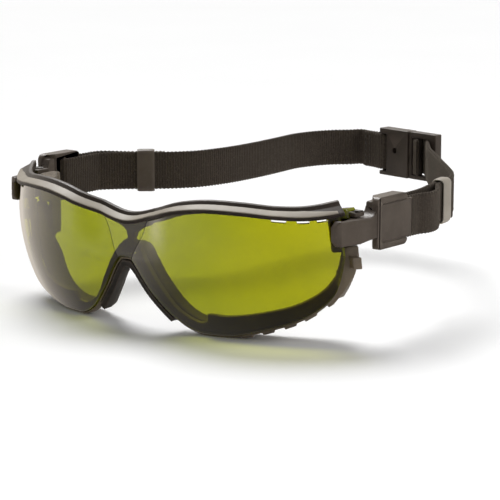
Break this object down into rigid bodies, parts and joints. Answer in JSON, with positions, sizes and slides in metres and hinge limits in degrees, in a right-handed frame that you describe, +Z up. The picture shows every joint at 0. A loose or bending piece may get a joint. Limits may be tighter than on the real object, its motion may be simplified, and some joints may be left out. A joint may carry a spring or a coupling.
{
  "type": "welding goggles",
  "caption": "Wrap-round welding goggles with a green-tinted lens, a foam face seal, a rubber nose pad and an elastic head strap with side clips, keepers and a rear buckle.",
  "frame": {"origin": "middle of the saddle of the nose bridge, where the wearer's nose touches the pad", "axes": "+X towards the wearer's left, +Y towards the back of the head, +Z up"},
  "size_m": [0.1528, 0.1811, 0.0481],
  "materials": {
    "tinted_lens": "clear yellow-green tint, polished",
    "frame_plastic": "satin moulded",
    "grey_inlay": "satin",
    "carrier_plastic": "satin moulded",
    "foam": "closed-cell foam",
    "nose_rubber": "matte",
    "pin_steel": "plain",
    "clip_plastic": "satin moulded",
    "elastic": "ribbed woven elastic",
    "thread": "twisted thread",
    "keeper_pale": "satin moulded",
    "keeper_dark": "satin moulded",
    "buckle_plastic": "satin moulded"
  },
  "bodies": {
    "front": {"lens": "tinted_lens", "brow_frame": "frame_plastic", "brow_inlay": "grey_inlay", "seal_carrier": "carrier_plastic", "face_foam": "foam", "nose_pad": "nose_rubber", "temple_lug_left": "frame_plastic", "temple_lug_right": "frame_plastic", "hinge_pin_left": "pin_steel", "hinge_pin_right": "pin_steel", "strap_short": "elastic", "strap_short_tail": "elastic", "strap_long": "elastic", "strap_long_tail": "elastic", "strap_stitching": "thread", "buckle_socket": "buckle_plastic"},
    "clip_left": {"strap_clip_left": "clip_plastic", "strap_end_left": "elastic"},
    "clip_right": {"strap_clip_right": "clip_plastic", "strap_end_right": "elastic"},
    "keeper_left": {"keeper_left": "keeper_pale"},
    "keeper_right": {"keeper_right": "keeper_dark"},
    "plug": {"buckle_plug": "buckle_plastic", "strap_buckle_end": "elastic"}
  },
  "joints": [
    {"name": "clip_left_hinge", "type": "hinge", "parent": "front", "child": "clip_left", "pos_m": [0.0725, 0.0262, 0.01685], "axis": [0, 0, 1], "range_deg": [-2, 18]},
    {"name": "clip_right_hinge", "type": "hinge", "parent": "front", "child": "clip_right", "pos_m": [-0.0725, 0.0262, 0.01685], "axis": [0, 0, -1], "range_deg": [-2, 18]},
    {"name": "keeper_left_slide", "type": "slide", "parent": "front", "child": "keeper_left", "axis": [-0.1994, 0.9799, 0], "range_m": [-0.0025, 0.0025]},
    {"name": "keeper_right_slide", "type": "slide", "parent": "front", "child": "keeper_right", "axis": [0.766, 0.6428, 0], "range_m": [-0.0025, 0.0025]},
    {"name": "buckle_slide", "type": "slide", "parent": "front", "child": "plug", "axis": [0.9848, -0.1736, 0], "range_m": [0, 0.012]}
  ]
}
